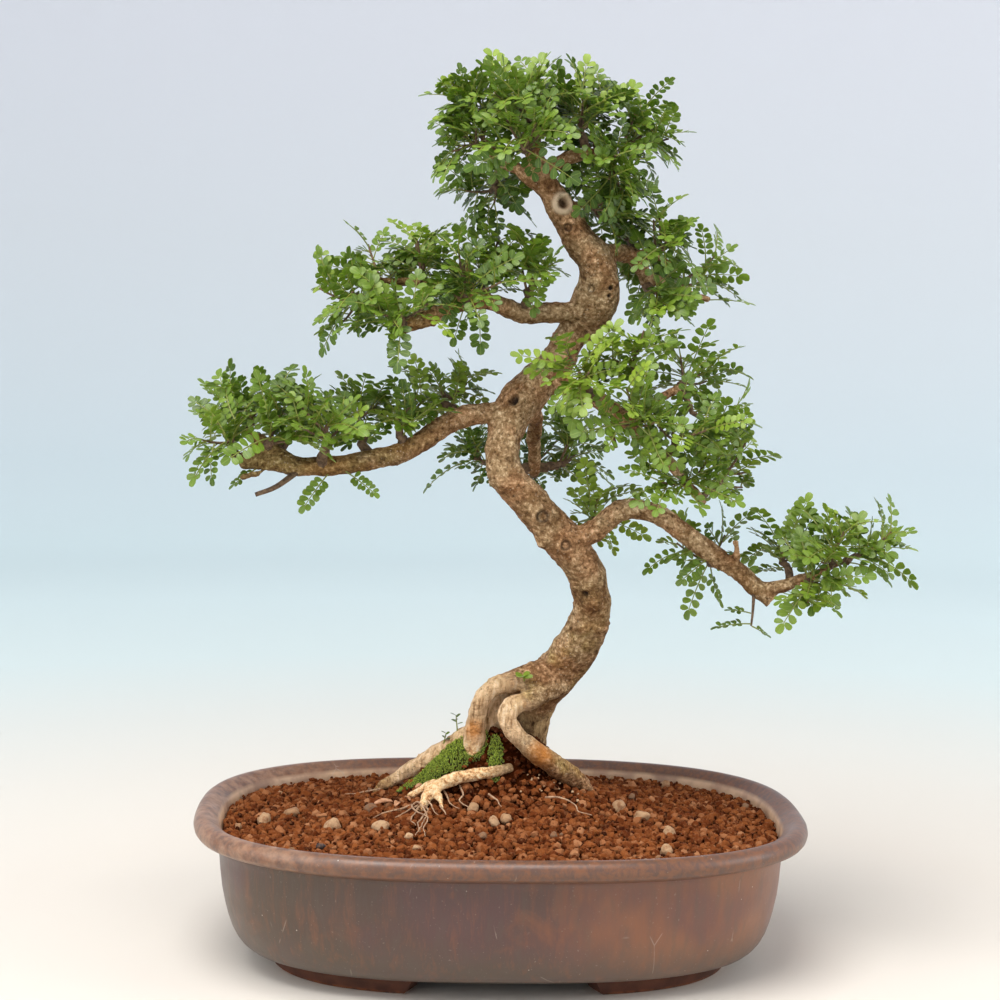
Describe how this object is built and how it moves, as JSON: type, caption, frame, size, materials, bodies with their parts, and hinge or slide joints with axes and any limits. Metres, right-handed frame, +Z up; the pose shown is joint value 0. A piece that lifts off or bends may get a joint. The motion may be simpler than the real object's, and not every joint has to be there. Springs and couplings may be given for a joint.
{
  "type": "chinese pepper bonsai",
  "caption": "Small curving bonsai tree with feathery leaf sprays, exposed roots and clay-grain soil in a shallow oval glazed pot on low feet.",
  "frame": {"origin": "middle of the whole tree's and pot's width and depth, on the surface that the pot's feet stand on", "axes": "+Z up; +X to the right and -Y towards the viewer of the tree's front; the pot's long side lies along X"},
  "size_m": [0.353, 0.2348, 0.4321],
  "materials": {
    "pot_glaze": "satin",
    "soil": "matte",
    "bark": "matte",
    "leaf": "satin",
    "screen": "matte"
  },
  "bodies": {
    "root": {"drain_screen_left": "screen", "drain_screen_right": "screen", "leaves_back_01": "leaf", "leaves_back_02": "leaf", "leaves_back_03": "leaf", "leaves_crown_01": "leaf", "leaves_crown_02": "leaf", "leaves_crown_03": "leaf", "leaves_crown_04": "leaf", "leaves_crown_05": "leaf", "leaves_crown_06": "leaf", "leaves_crown_07": "leaf", "leaves_crown_08": "leaf", "leaves_crown_09": "leaf", "leaves_crown_10": "leaf", "leaves_crown_11": "leaf", "leaves_low_left_01": "leaf", "leaves_low_left_02": "leaf", "leaves_low_left_03": "leaf", "leaves_low_left_04": "leaf", "leaves_low_left_05": "leaf", "leaves_low_left_06": "leaf", "leaves_low_left_07": "leaf", "leaves_low_left_08": "leaf", "leaves_right_low_01": "leaf", "leaves_right_low_02": "leaf", "leaves_right_low_03": "leaf", "leaves_right_low_04": "leaf", "leaves_right_low_05": "leaf", "leaves_right_low_06": "leaf", "leaves_right_mid_01": "leaf", "leaves_right_mid_02": "leaf", "leaves_right_mid_03": "leaf", "leaves_right_mid_04": "leaf", "leaves_right_mid_05": "leaf", "leaves_right_mid_06": "leaf", "leaves_right_mid_07": "leaf", "leaves_right_mid_08": "leaf", "leaves_right_upper_01": "leaf", "leaves_right_upper_02": "leaf", "leaves_right_upper_03": "leaf", "leaves_right_upper_04": "leaf", "leaves_right_upper_05": "leaf", "leaves_upper_left_01": "leaf", "leaves_upper_left_02": "leaf", "leaves_upper_left_03": "leaf", "leaves_upper_left_04": "leaf", "leaves_upper_left_05": "leaf", "leaves_upper_left_06": "leaf", "leaves_upper_left_07": "leaf", "pot": "pot_glaze", "soil": "soil", "tree": "bark"}
  },
  "joints": []
}
